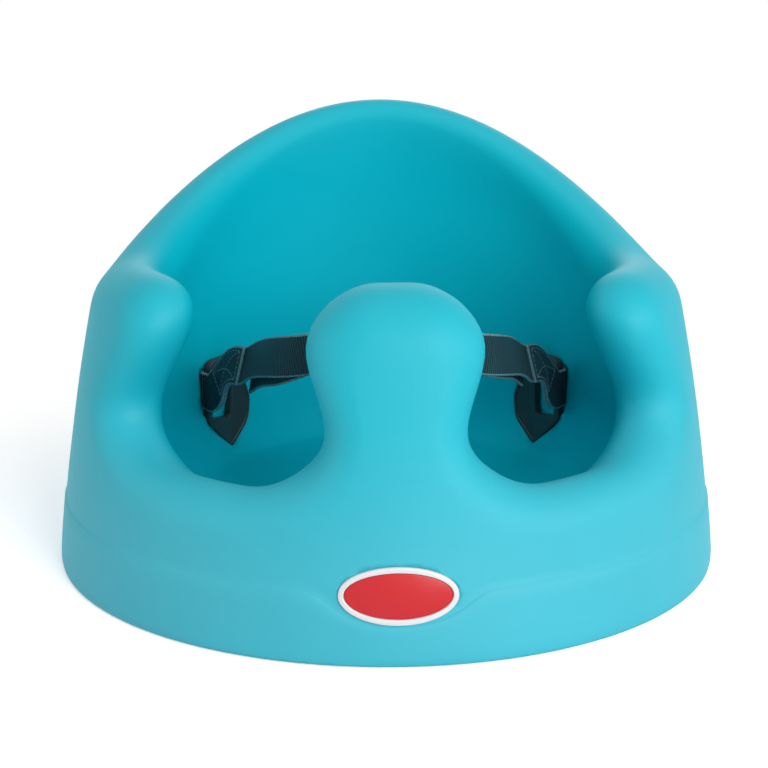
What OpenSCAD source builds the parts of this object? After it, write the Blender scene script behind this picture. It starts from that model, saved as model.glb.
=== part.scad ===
// Baby floor seat: a one-piece moulded foam seat with two leg openings, a front pommel,
// a lap belt with a side-release buckle, and an oval badge.
// Millimetres, Z up, base on the floor, front towards -Y.

/* [Seat] */
// Width of the round base across the floor
seat_width = 370; // [350:2:400]
// Height of the top of the backrest
back_height = 240; // [228:2:250]
// Height of the armrests at their front ends
arm_height = 171; // [166:1:178]
// Height of the rim at the sides, its lowest part
side_height = 166; // [160:1:168]
// Height of the top of the pommel
pommel_height = 180; // [174:1:186]
// Height of the lip at the bottom of each leg opening
lip_height = 78; // [74:1:84]
// Height of the sitting surface in the middle of the well
floor_height = 31; // [28:1:35]

/* [Walls] */
// Thickness of the backrest near its top
back_wall = 29; // [24:1:34]
// Thickness of the armrests
arm_wall = 42; // [36:1:48]
// Thickness of the lip under each leg
lip_wall = 38; // [32:1:44]
// Depth of the pommel from front to rear
pommel_depth = 54; // [48:1:60]
// Radius of the well just above the sitting surface
well_radius = 112; // [108:1:115]
// How far the outer wall draws in for each millimetre of height
wall_draft = 0.09; // [0.06:0.01:0.12]

/* [Leg openings] */
// Half width of the pommel, measured along the wall
pommel_half = 42; // [38:1:46]
// Where each leg opening ends at the armrest, measured along the wall
opening_end = 133; // [126:1:140]
// How far the neck of the pommel is pinched in
neck_pinch = 9; // [4:1:12]
// How far the head of the pommel swells out
head_swell = 5; // [2:1:7]
// How far the front of each armrest leans towards the pommel
arm_swell = 8; // [2:1:12]

/* [Mould line and base] */
// Height of the mould line round the base
seam_height = 37.5; // [35:0.5:42]
// How far the skirt below the mould line stands proud
seam_step = 0.8; // [0.5:0.1:1.2]
// How far the mould line dips round the badge
seam_dip = 16.5; // [15.5:0.5:20]
// Half width of the dip in the mould line
seam_dip_half = 39; // [36:1:42]

/* [Badge] */
// Length of the oval badge
badge_length = 59; // [55:1:62]
// Height of the oval badge
badge_height = 28.6; // [26:0.2:29]
// Width of the badge's raised border
badge_border = 2.8; // [2.2:0.1:3.4]

/* [Belt] */
// Width of the webbing
webbing_width = 22; // [20:1:24]
// Thickness of the webbing
webbing_thick = 1.4; // [1.2:0.1:1.6]
// How far round from the front each belt anchor sits, in degrees
anchor_angle = 123; // [119:1:127]
// Height of the middle of each anchor plate
anchor_height = 63; // [61:1:68]
// Thickness of the anchor plates
plate_thick = 4.5; // [4:0.1:5]
// Width of the bar that the webbing goes round
bar_wide = 4; // [3.6:0.2:4.6]
// Diameter of the barbed stem behind each anchor plate
stem_d = 8; // [7:0.5:9]
// How far the belt climbs before it turns forwards
belt_climb = 26; // [20:1:29]
// How far the top edge of the belt leans in, in degrees
belt_lean = 20; // [10:1:24]
// How far the spare webbing hangs below the belt on the left
sag_left = 6; // [3:0.5:9]
// How far the spare webbing hangs below the belt on the right
sag_right = 3; // [3:0.5:9]

/* [Buckle] */
// Height of the middle of the buckle above the floor
buckle_height = 131; // [126:1:136]
// Distance of the buckle in front of the middle of the seat
buckle_front = 70; // [60:1:76]
// Thickness of the buckle
buckle_thick = 11; // [10:0.5:12]
// Gap left between pieces that fit together
fit_gap = 0.15; // [0.1:0.05:0.2]

/* [Hidden] */
base_r = seat_width / 2;
wall_belly = 0.0004;
mid_r = 140;                                // radius at which the wall is unrolled
half_turn = PI * mid_r;                     // half of the unrolled length
rise_start = 0.53;                          // share of the way round where the rim starts to rise
rise_power = 0.8;
shoulder_z = 60;                            // level where the walls run into the well
head_round = 34;                            // corner radii of the rim, unrolled
lip_round = 30;
arm_round = 27;

// Points to a side: pommel top, pommel side, lip, armrest front, rest of the rim
n_top = 8;
n_neck = 9;
n_lip = 11;
n_arm = 7;
n_back = 31;
n_round = 5;                                // rows round each half of the rim
n_wall = 4;                                 // rows from the shoulder to the mould line
n_bowl = 4;                                 // rows from the shoulder to the floor

function mix(a, b, f) = a + (b - a) * f;
function smooth(x, lo, hi) =
    let (f = max(0, min(1, (x - lo) / (hi - lo)))) f * f * (3 - 2 * f);
function hump(x, centre, width) = exp(-pow((x - centre) / width, 2));

// Radius of the outer wall at a height
function outer_r(z) = base_r - wall_draft * z - wall_belly * z * z;

// Height of the rim behind the front ends of the armrests
function rim_z(s) =
    side_height
    + (arm_height - side_height) * (1 - smooth(s, opening_end + 20, opening_end + 100))
    + (back_height - side_height) * (1 - cos(180 * pow(back_share(s), rise_power))) / 2;
function back_share(s) = max(0, min(1, (s / half_turn - rise_start) / (1 - rise_start)));

// Share of the wall at s that belongs to the pommel, the lips and the backrest
function in_pommel(s) = 1 - smooth(abs(s), pommel_half - 8, pommel_half + 22);
function in_arm(s) = smooth(abs(s), opening_end - 26, opening_end + 8);
function in_back(s) = smooth(abs(s), 0.5 * half_turn, 0.9 * half_turn);
function by_part(s, pommel, lip, arm, back) =
    mix(mix(lip, pommel, in_pommel(s)), mix(arm, back, in_back(s)), in_arm(s));

// Thickness of the wall at s and z: thin at the rim, thick where it meets the floor
function wall(s, z) =
    let (top_z = by_part(s, pommel_height, lip_height + 6, arm_height, back_height),
         low_r = mix(by_part(s, well_radius + 4, well_radius + 16, well_radius + 28, well_radius),
                     well_radius, smooth(abs(s), opening_end + 20, opening_end + 130)),
         low_wall = outer_r(shoulder_z) - low_r,
         top_wall = by_part(s, pommel_depth, lip_wall, arm_wall, back_wall))
    mix(low_wall, top_wall, smooth(z, shoulder_z - 14, top_z - 6));

// Radius of the rounding along the rim
function rim_round(s) = by_part(s, 25, 17, 20, 0.49 * back_wall);

// Sideways swell of the pommel and the armrests, after the rim is laid out straight
function warp(s, z) =
    let (a = abs(s),
         head = head_swell * hump(z, pommel_height - 23, 30) - neck_pinch * hump(z, 107, 27),
         arm = -arm_swell * hump(z, arm_height - 14, 26) + 19 * hump(z, 97, 27),
         at_head = a < pommel_half ? a / pommel_half : 1 - smooth(a, pommel_half, pommel_half + 40),
         at_arm = smooth(a, opening_end - 50, opening_end)
                  * (1 - smooth(a, opening_end + 14, opening_end + 90)))
    sign(s) * (a + head * at_head + arm * at_arm);

// A point of the shell: outward 1 is the outer face, -1 the inner face, 0 the middle
function on_wall(s, z, outward) =
    let (along = warp(s, z), t = wall(s, z) / 2, r = outer_r(z) - t + outward * t,
         turn = along / mid_r * 180 / PI)
    [r * sin(turn), -r * cos(turn), z];

// The rim laid out flat, as [s, z], from the pommel round to the middle of the back
function arc(centre, r, from, to, n) =
    [for (k = [0 : n]) let (a = mix(from, to, k / n)) centre + r * [cos(a), sin(a)]];
rim_path = concat(
    [[-6, pommel_height], [0, pommel_height]],
    arc([pommel_half - head_round, pommel_height - head_round], head_round, 90, 0, 16),
    arc([pommel_half + lip_round, lip_height + lip_round], lip_round, 180, 270, 16),
    arc([opening_end - lip_round, lip_height + lip_round], lip_round, 270, 360, 16),
    arc([opening_end + arm_round, arm_height - arm_round], arm_round, 180, 90, 14),
    [for (k = [1 : 60]) let (s = mix(opening_end + arm_round, half_turn, k / 60)) [s, rim_z(s)]],
    [[half_turn + 6, back_height]]
);
function lengths(path, i = 0, run = 0) =
    i == len(path) - 1 ? [run]
    : concat([run], lengths(path, i + 1, run + norm(path[i + 1] - path[i])));
rim_len = lengths(rim_path);
rim_s_at = [for (i = [0 : len(rim_path) - 1]) [rim_len[i], rim_path[i][0]]];
rim_z_at = [for (i = [0 : len(rim_path) - 1]) [rim_len[i], rim_path[i][1]]];
function rim_at(l) = [lookup(l, rim_s_at), lookup(l, rim_z_at)];

// Lengths at which the grid of the shell turns its corners
l_top = 6;
l_head = rim_len[2 + 9];
l_neck = rim_len[2 + 17 + 9];
l_lip = rim_len[2 + 34 + 7];
l_arm = rim_len[2 + 51 + 7];
l_back = rim_len[len(rim_path) - 2];
i_head = n_top;
i_neck = i_head + n_neck;
i_lip = i_neck + n_lip;
i_arm = i_lip + n_arm;
i_back = i_arm + n_back;
function rim_l(p) =
    p <= i_head ? mix(l_top, l_head, p / n_top)
    : p <= i_neck ? mix(l_head, l_neck, (p - i_head) / n_neck)
    : p <= i_lip ? mix(l_neck, l_lip, (p - i_neck) / n_lip)
    : p <= i_arm ? mix(l_lip, l_arm, (p - i_lip) / n_arm)
    : mix(l_arm, l_back, (p - i_arm) / n_back);

// A point of the rounded edge, in from the rim by the angle round it
function edge_flat(p, angle) =
    let (l = rim_l(p), at = rim_at(l), way = rim_at(l + 2) - rim_at(l - 2),
         inward = [way[1], -way[0]] / norm(way))
    at + inward * rim_round(at[0]) * (1 - cos(angle));

// Coons patch between four edges given as functions of their place
function coons(u, v, left, right, top, bottom, tl, tr, bl, br) =
    mix(left, right, u) + mix(top, bottom, v)
    - mix(mix(tl, tr, u), mix(bl, br, u), v);

edge_in = [for (p = [0 : i_back]) edge_flat(p, 90)];
head_low = [0, edge_in[i_neck][1] - 4];
back_low = [half_turn, 56];

// Inside of the pommel: i across from the middle, j down from the top
function head_flat(i, j) =
    let (u = i / n_top, v = j / n_neck,
         left = [0, mix(edge_in[0][1], head_low[1], v)], right = edge_in[i_head + j],
         top = edge_in[i], bottom = mix(head_low, edge_in[i_neck], u))
    coons(u, v, left, right, top, bottom,
          edge_in[0], edge_in[i_head], head_low, edge_in[i_neck]);

// Inside of the armrest and back: i along from the leg opening, j down from the rim
function back_flat(i, j) =
    let (u = i / n_back, v = j / n_arm,
         left = edge_in[i_arm - j], right = [half_turn, mix(edge_in[i_back][1], back_low[1], v)],
         top = edge_in[i_arm + i], bottom = mix(edge_in[i_lip], back_low, u))
    coons(u, v, left, right, top, bottom,
          edge_in[i_arm], edge_in[i_back], edge_in[i_lip], back_low);

// The shoulder line that all the columns below start from
n_col = n_top + n_lip + n_back;
function shoulder_flat(c) =
    c <= n_top ? head_flat(c, n_neck)
    : c <= n_top + n_lip ? edge_in[i_neck + c - n_top]
    : back_flat(c - n_top - n_lip, n_arm);
function foot_s(c) = mix(shoulder_flat(c)[0], half_turn * c / n_col, 0.5);

// The mould line dips round the badge
function seam_z(s) = seam_height - seam_dip * sqrt(max(0, 1 - pow(s * base_r / mid_r / seam_dip_half, 2)));

// Rows below the shoulder line, as [share of the way down, outward step]
foot_round = 4;
foot_wide = 34;                             // width of the ring that stands on the floor
foot_recess = 3;                            // how far the underside is set in, inside that ring
function skirt_r(z) = outer_r(z) + seam_step;
function below_point(c, row) =
    let (s0 = shoulder_flat(c), s1 = foot_s(c), seam = seam_z(s1), last = n_wall + 1)
    row <= n_wall ? let (f = row / n_wall, s = mix(s0[0], s1, smooth(f, 0, 1.3) / smooth(1, 0, 1.3)))
        on_wall(s, mix(s0[1], seam + 0.5, f), 1)
    : let (turn = s1 / mid_r * 180 / PI,
           rz = row == last ? [skirt_r(seam - 0.5), seam - 0.5]
              : row == last + 1 ? [skirt_r(seam * 0.55 + 3), seam * 0.55 + 3]
              : row == last + 2 ? [skirt_r(foot_round), foot_round]
              : row == last + 3 ? [skirt_r(0) - foot_round * 0.293, foot_round * 0.293]
              : row == last + 4 ? [skirt_r(0) - foot_round, 0]
              : row == last + 5 ? [base_r - foot_wide, 0]
              : row == last + 6 ? [base_r - foot_wide - 8, foot_recess]
              : [base_r - 110, foot_recess])
        [rz[0] * sin(turn), -rz[0] * cos(turn), rz[1]];
n_below = n_wall + 8;

// Rows of the well, from the shoulder line down and round into the floor
floor_r = 97;
function bowl_point(c, row) =
    let (from = on_wall(shoulder_flat(c)[0], shoulder_flat(c)[1], -1), s1 = foot_s(c),
         turn = s1 / mid_r * 180 / PI, a = 90 * min(row, n_bowl) / n_bowl,
         rim = [floor_r * sin(turn), -floor_r * cos(turn), floor_height + 3],
         at = [mix(from[0], rim[0], 1 - cos(a)), mix(from[1], rim[1], 1 - cos(a)),
               mix(from[2], rim[2], sin(a))])
    row <= n_bowl ? at : [rim[0] * 0.5, rim[1] * 0.5, floor_height + 0.8];
n_well = n_bowl + 1;

// Every point of the shell. Each ring runs right round; index 0 is the middle of the front.
rim_n = 2 * i_back;
col_n = 2 * n_col;
function fold(k, n) = k <= n / 2 ? k : n - k;
function flip(v, k, n) = k <= n / 2 ? v : [-v[0], v[1], v[2]];
function edge_point(k, row, side) =
    let (p = fold(k, rim_n), a = 90 * row / n_round, f = edge_flat(p, a))
    flip(on_wall(f[0], f[1], side * sin(a)), k, rim_n);
function head_point(i, j, side) =
    let (f = head_flat(abs(i), j), v = on_wall(f[0], f[1], side)) i < 0 ? [-v[0], v[1], v[2]] : v;
function back_point(i, j, side) =
    let (f = back_flat(min(i, 2 * n_back - i), j), v = on_wall(f[0], f[1], side))
    i > n_back ? [-v[0], v[1], v[2]] : v;

side_points = function(side) concat(
    [for (row = [1 : n_round]) for (k = [0 : rim_n - 1]) edge_point(k, row, side)],
    [for (j = [1 : n_neck]) for (i = [1 - n_top : n_top - 1]) head_point(i, j, side)],
    [for (j = [1 : n_arm]) for (i = [1 : 2 * n_back - 1]) back_point(i, j, side)]);
shell_points = concat(
    [for (k = [0 : rim_n - 1]) edge_point(k, 0, 1)],
    side_points(1),
    [for (row = [1 : n_below]) for (k = [0 : col_n - 1])
        flip(below_point(fold(k, col_n), row), k, col_n)],
    [[0, 0, foot_recess]],
    side_points(-1),
    [for (row = [1 : n_well]) for (k = [0 : col_n - 1])
        flip(bowl_point(fold(k, col_n), row), k, col_n)],
    [[0, 0, floor_height]]);

// Where each block of points starts in the list
head_n = n_neck * (2 * n_top - 1);
arm_n = n_arm * (2 * n_back - 1);
side_n = n_round * rim_n + head_n + arm_n;
outer_start = rim_n;
below_start = outer_start + side_n;
inner_start = below_start + n_below * col_n + 1;
bowl_start = inner_start + side_n;

function edge_id(k, row, start) =
    let (w = (k + rim_n) % rim_n) row == 0 ? w : start + (row - 1) * rim_n + w;
function head_id(i, j, start) =
    j == 0 ? edge_id(i, n_round, start)
    : abs(i) == n_top ? edge_id(sign(i) * (i_head + j), n_round, start)
    : start + n_round * rim_n + (j - 1) * (2 * n_top - 1) + i + n_top - 1;
function back_id(i, j, start) =
    i == 0 ? edge_id(i_arm - j, n_round, start)
    : i == 2 * n_back ? edge_id(j - i_arm, n_round, start)
    : j == 0 ? edge_id(i_arm + i, n_round, start)
    : start + n_round * rim_n + head_n + (j - 1) * (2 * n_back - 1) + i - 1;
function shoulder_id(k, start) =
    let (w = (k + col_n) % col_n, c = w <= n_col ? w : w - col_n)
    abs(c) < n_top ? head_id(c, n_neck, start)
    : abs(c) <= n_top + n_lip ? edge_id(sign(c) * (i_neck + abs(c) - n_top), n_round, start)
    : back_id(w - n_top - n_lip, n_arm, start);
function low_id(k, row, start, low) =
    row == 0 ? shoulder_id(k, start) : low + (row - 1) * col_n + (k + col_n) % col_n;

function quad(a, b, c, d, side) =
    side > 0 ? [[a, b, c], [a, c, d]] : [[a, c, b], [a, d, c]];
side_faces = function(side, start, low, rows) [
    for (row = [0 : n_round - 1]) for (k = [0 : rim_n - 1])
        each quad(edge_id(k, row, start), edge_id(k + 1, row, start),
                  edge_id(k + 1, row + 1, start), edge_id(k, row + 1, start), side),
    for (j = [0 : n_neck - 1]) for (i = [-n_top : n_top - 1])
        each quad(head_id(i, j, start), head_id(i + 1, j, start),
                  head_id(i + 1, j + 1, start), head_id(i, j + 1, start), side),
    for (j = [0 : n_arm - 1]) for (i = [0 : 2 * n_back - 1])
        each quad(back_id(i, j, start), back_id(i + 1, j, start),
                  back_id(i + 1, j + 1, start), back_id(i, j + 1, start), side),
    for (row = [0 : rows - 1]) for (k = [0 : col_n - 1])
        each quad(low_id(k, row, start, low), low_id(k + 1, row, start, low),
                  low_id(k + 1, row + 1, start, low), low_id(k, row + 1, start, low), side),
    for (k = [0 : col_n - 1])
        let (a = low_id(k, rows, start, low), b = low_id(k + 1, rows, start, low),
             middle = low + rows * col_n)
        side > 0 ? [a, b, middle] : [a, middle, b]];
shell_faces = concat(side_faces(1, outer_start, below_start, n_below),
                     side_faces(-1, inner_start, bowl_start, n_well));

$fn = 48;
mesh_gap = 0.02;
function unit(v) = v / norm(v);

// A polygon with every corner rounded: corners are [x, y, radius], anticlockwise
function corner_arc(a, b, c, r) =
    let (u = unit(a - b), v = unit(c - b), half = acos(u * v) / 2,
         centre = b + unit(u + v) * r / sin(half),
         p = b + u * r / tan(half) - centre, sweep = 180 - 2 * half)
    [for (k = [0 : 6]) let (t = sweep * k / 6)
        centre + [p[0] * cos(t) - p[1] * sin(t), p[0] * sin(t) + p[1] * cos(t)]];
function rounded(corners) =
    let (n = len(corners), at = function(i) let (q = corners[(i + n) % n]) [q[0], q[1]])
    [for (i = [0 : n - 1]) each corner_arc(at(i - 1), at(i), at(i + 1), corners[i][2])];
// The same corners moved out by d
function grown(corners, d) =
    let (n = len(corners), at = function(i) let (q = corners[(i + n) % n]) [q[0], q[1]])
    [for (i = [0 : n - 1])
        let (u = unit(at(i) - at(i - 1)), v = unit(at(i + 1) - at(i)),
             m = [u[1] + v[1], -u[0] - v[0]] / (1 + u * v))
        [at(i)[0] + m[0] * d, at(i)[1] + m[1] * d, corners[i][2] + d]];

// ---- Belt anchors: x towards the front, y up the wall, z out of the wall into the well
anchor_s = anchor_angle * mid_r * PI / 180;
plate_sunk = 0.2;                           // how deep the back of the plate lies in the foam
function well_r(z) = outer_r(z) - wall(anchor_s, z);
plate_lean = 4;                             // the plate's foot stands a little further out
wall_tilt = atan((well_r(anchor_height + 22) - well_r(anchor_height - 4)) / 26) - plate_lean;
anchor_r = well_r(anchor_height) + plate_sunk;
module at_anchor() {
    rotate([0, 0, anchor_angle]) translate([0, -anchor_r, anchor_height])
        rotate([90 - wall_tilt, 0, 180]) children();
}
function anchor_world(p) =
    let (up = [0, -sin(wall_tilt), cos(wall_tilt)], out = [0, cos(wall_tilt), sin(wall_tilt)],
         q = [0, -anchor_r, anchor_height] - [p[0], 0, 0] + up * p[1] + out * p[2],
         a = anchor_angle)
    [q[0] * cos(a) - q[1] * sin(a), q[0] * sin(a) + q[1] * cos(a), q[2]];

loop_y = 17;                                // middle of the webbing on the bar
loop_half = webbing_width / 2;
bar_front = 22;
bar_back = bar_front - bar_wide;
window_low = -4;
window_high = loop_y + loop_half + 2.5;
window_back = 0.5;
plate_top = window_high + 4;
plate_corners = [[bar_front, plate_top, 6], [-5, plate_top, 9], [-20, 4, 14], [-19, -10, 12],
                 [-2, -24, 4.5], [bar_front, -2, 6]];
stem_at = [-9, -5];
stem_long = 21;
socket_wall = 3;
recess = 3;                                 // depth of the foam's recess behind the bar

// The leaf-shaped plate, its raised rim, and the window behind the bar
module plate_shape() {
    color("#1d2426") difference() {
        union() {
            linear_extrude(plate_thick - 0.7) polygon(rounded(plate_corners));
            linear_extrude(plate_thick) difference() {
                polygon(rounded(plate_corners));
                polygon(rounded(grown(plate_corners, -1.8)));
            }
            linear_extrude(plate_thick) intersection() {
                polygon(rounded(plate_corners));
                translate([window_back - 2, window_low - 2])
                    square([bar_front - window_back + 4, plate_top - window_low + 4]);
            }
            translate([stem_at[0], stem_at[1], 0]) rotate_extrude() polygon(stem_outline(0));
        }
        translate([0, 0, -1]) linear_extrude(plate_thick + 2) polygon(rounded([
            [bar_back, window_high, 2], [window_back, window_high, 3],
            [window_back, window_low, 2], [bar_back, window_low + 3, 2]]));
    }
}

// The barbed stem, from its root down to its tip; the socket's bore is the same, grown
function stem_outline(grow) = concat(
    [[0, 0.5], [stem_d / 2 + grow, 0.5]],
    [for (z = [-5, -10, -15]) each [[stem_d / 2 + grow, z], [stem_d / 2 + 0.8 + grow, z - 0.01],
        [stem_d / 2 + 0.8 + grow, z - 1 - grow], [stem_d / 2 + grow, z - 3]]],
    [[stem_d / 2 + grow, -stem_long + 1], [stem_d / 2 - 1 + grow, -stem_long - grow],
     [0, -stem_long - grow]]);

module insert_shape() {
    color("#c9cdcf") translate([stem_at[0], stem_at[1], 0]) difference() {
        translate([0, 0, -stem_long - 3]) union() {
            cylinder(d = stem_d + 2 * socket_wall, h = stem_long + 3 - fit_gap);
            for (z = [2 : 6 : stem_long - 2]) translate([0, 0, z])
                cylinder(d = stem_d + 2 * socket_wall + 2, h = 3);
        }
        rotate_extrude() polygon(stem_outline(fit_gap));
    }
}

// What is cut out of the foam for one anchor
module anchor_pocket() {
    linear_extrude(14) polygon(rounded(grown(plate_corners, 0.4)));
    translate([0, 0, -recess]) linear_extrude(recess + 14) polygon(rounded([
        [bar_front + 5, loop_y + loop_half + 2, 3], [bar_back - 7, loop_y + loop_half + 2, 2],
        [bar_back - 7, window_low + 4, 2], [bar_front - 2, window_low + 2, 2],
        [bar_front + 5, loop_y - loop_half - 2, 3]]));
    translate([stem_at[0], stem_at[1], -stem_long - 3 - fit_gap])
        cylinder(d = stem_d + 2 * socket_wall + 2 + 2 * fit_gap, h = stem_long + 5);
}

// ---- Webbing, laid along a line of points from the stitched end to the free end
face_gap = 0.35;                            // between the webbing and what it lies on
over_z = plate_thick + webbing_thick / 2 + face_gap;
under_z = -webbing_thick / 2 - face_gap;
round_x = webbing_thick / 2 + face_gap;
corner_x = round_x * 0.9;
sewn_long = 46;                             // from the bar to the cut end of the webbing
free_gap = 5.4;                             // between the belt and its free end behind it
flat_long = 3;                              // the webbing leaves the bar square to it
// The main leg leaves the front of the bar and climbs as it goes
function out_at(d) =
    let (share = max(0, d - flat_long) / (sewn_long - flat_long))
    [bar_front + 1 + 0.373 * d, loop_y + belt_climb * mix(smooth(share, 0, 0.68), share, 0.25),
     over_z + 0.2 + 0.76 * d];
lift = [0.9, 0, -0.44] * (webbing_thick + 0.25);
buckle_end = [36, -buckle_front - 2.6, buckle_height];
bar_x = 28;                                 // inner edge of the bar the webbing goes round
anchor_up = anchor_world([0, 1, 0]) - anchor_world([0, 0, 0]);
loop_at = anchor_world([bar_front, loop_y, 0]);

function bezier(a, b, c, d, t) =
    pow(1 - t, 3) * a + 3 * t * pow(1 - t, 2) * b + 3 * t * t * (1 - t) * c + pow(t, 3) * d;
run_from = anchor_world(out_at(sewn_long));
run_way = (run_from - anchor_world(out_at(sewn_long - 20))) * 1.5 + [0, 0, 7];
function run_at(t) =
    bezier(run_from, run_from + run_way, buckle_end + [32, -4, -4], buckle_end, t);
function inward(p) = unit([-p[0], 40 - p[1], 0]);
function strap_keys(sag) = concat(
    [for (d = [1, 0.75, 0.5, 0.25, 0.08]) anchor_world(out_at(d * sewn_long) + lift)],
    [for (q = [[bar_front + round_x, plate_thick * 0.55], [bar_front + corner_x, -corner_x],
               [bar_front - bar_wide / 2, under_z], [bar_back - corner_x, -corner_x],
               [bar_back - round_x, plate_thick * 0.5],
               [bar_back - corner_x, plate_thick + corner_x], [bar_front - 1, over_z + 0.15]])
        anchor_world([q[0], loop_y, q[1]])],
    [for (d = [0.08, 0.25, 0.5, 0.75]) anchor_world(out_at(d * sewn_long))],
    [for (k = [0 : 8]) run_at(k / 8)],
    [for (q = [[bar_x + 2, -2.6], [bar_x - 1.4, -2.1], [bar_x - 2.6, 0],
               [bar_x - 1.4, 2.1], [bar_x + 2, 2.6]])
        [q[0], q[1] - buckle_front, buckle_height]],
    [for (k = [8 : -1 : 0]) let (p = run_at(k / 8))
        p + inward(p) * free_gap - [0, 0, sag * smooth(8 - k, 0, 4)]]);
function spline(a, b, c, d, t) =
    0.5 * (2 * b + (c - a) * t + (2 * a - 5 * b + 4 * c - d) * t * t
           + (3 * b - a - 3 * c + d) * t * t * t);
function strap_line(keys) =
    let (n = len(keys), at = function(i) keys[max(0, min(n - 1, i))])
    concat([for (i = [0 : n - 2]) for (k = [0 : 2])
               spline(at(i - 1), at(i), at(i + 1), at(i + 2), k / 3)], [at(n - 1)]);
// Which way the top edge of the webbing points: up the wall at the anchor, leaning in after it
function strap_up(p) =
    let (lean = belt_lean * smooth(p[0], buckle_end[0] + 4, run_from[0]),
         free = [-sin(lean), 0, cos(lean)])
    unit(mix(anchor_up, free, smooth(norm(p - loop_at), 8, sewn_long)));

module strap_shape(sag) {
    line = strap_line(strap_keys(sag));
    n = len(line);
    points = [for (i = [0 : n - 1])
        let (way = unit(line[min(n - 1, i + 1)] - line[max(0, i - 1)]),
             up = strap_up(line[i]),
             across = unit(up - way * (up * way)) * webbing_width / 2,
             through = unit(cross(way, across)) * webbing_thick / 2)
        each [line[i] + across + through, line[i] - across + through,
              line[i] - across - through, line[i] + across - through]];
    sides = [for (i = [0 : n - 2]) for (k = [0 : 3])
        let (a = 4 * i + k, b = 4 * i + (k + 1) % 4) each [[a, b + 4, b], [a, a + 4, b + 4]]];
    color("#2c3f47") polyhedron(points = points, convexity = 10,
        faces = concat(sides, [[0, 1, 2, 3], [4 * n - 1, 4 * n - 2, 4 * n - 3, 4 * n - 4]]));
}

module seat_body() {
    color("#3fbccd") difference() {
        polyhedron(points = shell_points, faces = shell_faces, convexity = 8);
        for (m = [0, 1]) mirror([m, 0, 0]) at_anchor() anchor_pocket();
        badge_shape(badge_length / 2 + fit_gap, badge_height / 2 + fit_gap, -badge_bed, clear);
    }
}

// ---- Badge: an oval piece following the front wall between two depths from its face
badge_z = seam_height - 1;
badge_bed = 1.4;                            // depth of the foam's recess behind the badge
bezel_proud = 1.7;                          // how far the border stands out from the wall
panel_bed = 0.6;                            // depth of the border's floor behind the panel
panel_proud = 1.1;
clear = 3;                                  // how far a cut runs past the face it opens
module badge_shape(a, b, deep, proud) {
    bottom = badge_z - badge_height;
    top = badge_z + badge_height;
    intersection() {
        translate([0, -base_r + 30, badge_z]) rotate([90, 0, 0]) scale([a / b, 1, 1])
            cylinder(r = b, h = 40, $fn = 144);
        rotate_extrude($fn = 240) polygon([
            [outer_r(bottom) + deep, bottom], [outer_r(bottom) + proud, bottom],
            [outer_r(top) + proud, top], [outer_r(top) + deep, top]]);
    }
}
module badge_bezel() {
    color("#f2f2f3") difference() {
        badge_shape(badge_length / 2, badge_height / 2, -badge_bed + mesh_gap, bezel_proud);
        badge_shape(badge_length / 2 - badge_border, badge_height / 2 - badge_border,
                    -panel_bed, clear);
    }
}
module badge_panel() {
    color("#d8393c") badge_shape(badge_length / 2 - badge_border - fit_gap,
        badge_height / 2 - badge_border - fit_gap, -panel_bed + mesh_gap, panel_proud);
}

// ---- Buckle, x along the belt, y through it, z across the webbing
half_wide = webbing_width / 2 + 6;
half_thick = buckle_thick / 2;
bar_half = 1.4;
mouth = 4;                                  // where the two halves meet
buckle_half = bar_x + 8;                    // from the middle of the buckle to each end
shell_wall = 2;                             // wall of the socket
latch_front = -2.6;                         // ends of the socket's two side openings
latch_rear = -15.4;
hollow_rear = -18;                          // inner end of the socket
tongue_half = 3.5;                          // half width of the plug's middle tongue
tongue_end = -14;
module at_buckle() {
    translate([0, -buckle_front, buckle_height]) rotate([90, 0, 0]) children();
}
// Rounded outline in x and across, drawn through the thickness
module slab(corners, half) {
    translate([0, 0, -half]) linear_extrude(2 * half) polygon(rounded(corners));
}
// Slot for the webbing, and the thinned bar it goes round at the end of each half
module strap_bar(side) {
    translate([side * (bar_x - 2), 0, 0])
        cube([4, webbing_width + 3, 2 * buckle_thick], center = true);
    for (z = [-1, 1]) translate([side * (bar_x + 7), 0, z * (half_thick + bar_half)])
        cube([16, webbing_width + 3, 2 * half_thick], center = true);
}
module socket_shape() {
    color("#15191b") difference() {
        slab([[mouth, half_wide, 3], [-buckle_half, half_wide - 1, 5],
              [-buckle_half, 1 - half_wide, 5], [mouth, -half_wide, 3]], half_thick);
        translate([hollow_rear, shell_wall + 0.2 - half_wide, shell_wall - half_thick])
            cube([mouth - hollow_rear + clear, 2 * (half_wide - shell_wall - 0.2),
                  buckle_thick - 2 * shell_wall]);
        for (z = [-1, 1]) translate([(latch_front + latch_rear) / 2, z * half_wide, 0])
            cube([latch_front - latch_rear, 8, buckle_thick - 2 * shell_wall], center = true);
        strap_bar(-1);
    }
}
arm_root = [mouth + 3, half_wide - 5.4];
arm_r = 1.7;
arm_half = 1.5;                             // half thickness of a latch arm
module plug_shape() {
    color("#15191b") difference() {
        union() {
            slab([[buckle_half, 1 - half_wide, 5], [buckle_half, half_wide - 1, 5],
                  [mouth + fit_gap, half_wide, 2], [mouth + fit_gap, -half_wide, 2]], half_thick);
            slab([[mouth + 2, -tongue_half, 1], [mouth + 2, tongue_half, 1],
                  [tongue_end, tongue_half - 1, 2], [tongue_end, 1 - tongue_half, 2]],
                 half_thick - shell_wall - fit_gap);
        }
        for (z = [-1, 1]) {
            translate([arm_root[0], z * arm_root[1], -half_thick - 1])
                cylinder(r = arm_r + fit_gap, h = buckle_thick + 2);
            translate([mouth - 2, z * arm_root[1] - arm_r - 1, -half_thick - 1])
                cube([5, 2 * arm_r + 2, buckle_thick + 2]);
        }
        strap_bar(1);
    }
}
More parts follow.
